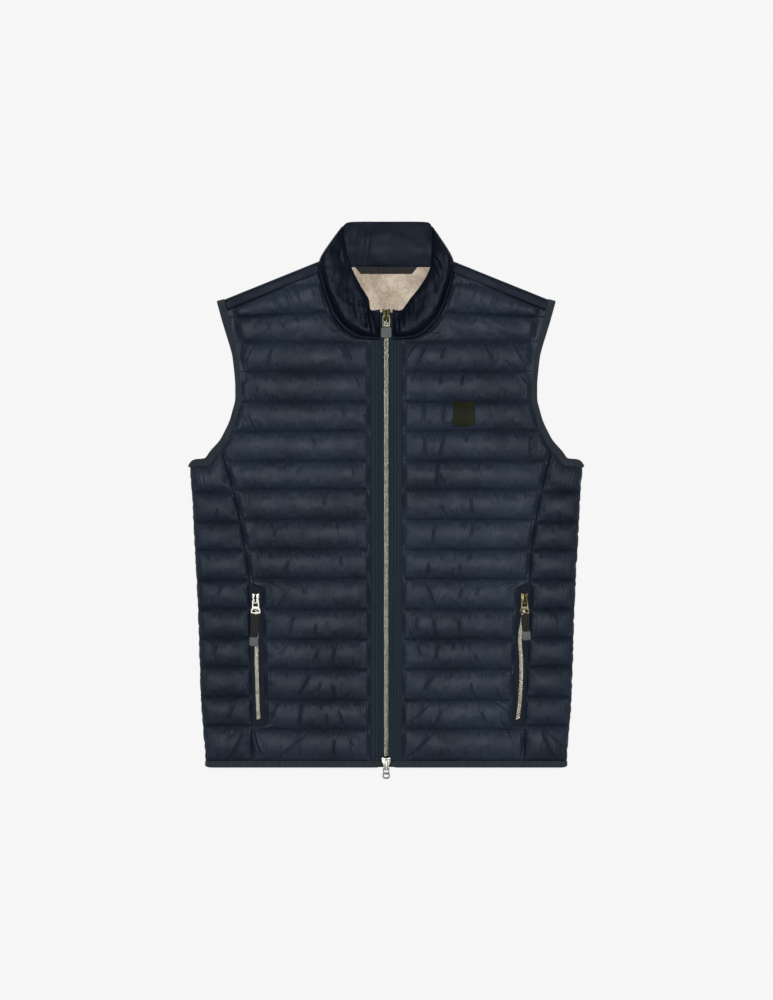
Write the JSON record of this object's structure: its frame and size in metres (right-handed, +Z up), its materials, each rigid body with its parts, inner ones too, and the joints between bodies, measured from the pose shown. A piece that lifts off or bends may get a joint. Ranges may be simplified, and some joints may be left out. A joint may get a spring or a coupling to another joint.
{
  "type": "quilted zip gilet",
  "caption": "Sleeveless padded gilet with level quilting, a stand-up collar, a full-length front zip and zipped side pockets, laid flat and closed.",
  "frame": {"origin": "centre of the bounding box on the surface that the gilet lies on", "axes": "+X to the viewer's right across the front, +Y from hem to collar, +Z up out of the front"},
  "size_m": [0.5422, 0.7626, 0.0232],
  "materials": {
    "shell": "smooth padded nylon with a soft sheen",
    "binding": "matt stretch binding",
    "zip_tape": "ribbed woven tape",
    "lining": "crinkled lining taffeta",
    "loop": "woven tape",
    "patch": "matt coated patch",
    "teeth": "antique nickel with a warm tint",
    "bronze": "antique brass",
    "nickel": "bright nickel",
    "rubber": "matt moulded rubber",
    "strap": "woven strap"
  },
  "bodies": {
    "gilet": {"front_right": "shell", "front_left": "shell", "side_right": "shell", "side_left": "shell", "back": "shell", "shoulder_right": "shell", "shoulder_left": "shell", "collar": "shell", "armhole_binding_right": "binding", "armhole_binding_left": "binding", "hem_binding": "binding", "zip_tape_right": "zip_tape", "zip_tape_left": "zip_tape", "pocket_tape_right": "zip_tape", "pocket_tape_left": "zip_tape", "neck_lining": "lining", "hanger_loop": "loop", "chest_patch": "patch", "zip_chain": "teeth", "pocket_chain_right": "teeth", "pocket_chain_left": "teeth", "slider_top": "bronze", "pocket_slider_left": "bronze", "slider_bottom": "nickel", "pocket_slider_right": "nickel"},
    "pull_top": {"pull_top": "bronze", "pull_tab_top": "rubber"},
    "pull_bottom": {"pull_bottom": "nickel"},
    "pocket_pull_right": {"pocket_pull_right": "nickel", "pocket_strap_right": "strap", "pocket_tip_right": "rubber"},
    "pocket_pull_left": {"pocket_pull_left": "bronze", "pocket_strap_left": "strap", "pocket_tip_left": "rubber"}
  },
  "joints": [
    {"name": "pull_top_swing", "type": "hinge", "parent": "gilet", "child": "pull_top", "pos_m": [0, 0.25143, 0.01635], "axis": [-1, 0, 0], "range_deg": [0, 160]},
    {"name": "pull_bottom_swing", "type": "hinge", "parent": "gilet", "child": "pull_bottom", "pos_m": [0, -0.36577, 0.01635], "axis": [-1, 0, 0], "range_deg": [0, 180]},
    {"name": "pocket_pull_right_swing", "type": "hinge", "parent": "gilet", "child": "pocket_pull_right", "pos_m": [-0.17817, -0.13567, 0.01565], "axis": [-1, 0, 0], "range_deg": [0, 160]},
    {"name": "pocket_pull_left_swing", "type": "hinge", "parent": "gilet", "child": "pocket_pull_left", "pos_m": [0.18898, -0.13567, 0.01565], "axis": [-1, 0, 0], "range_deg": [0, 160]}
  ]
}
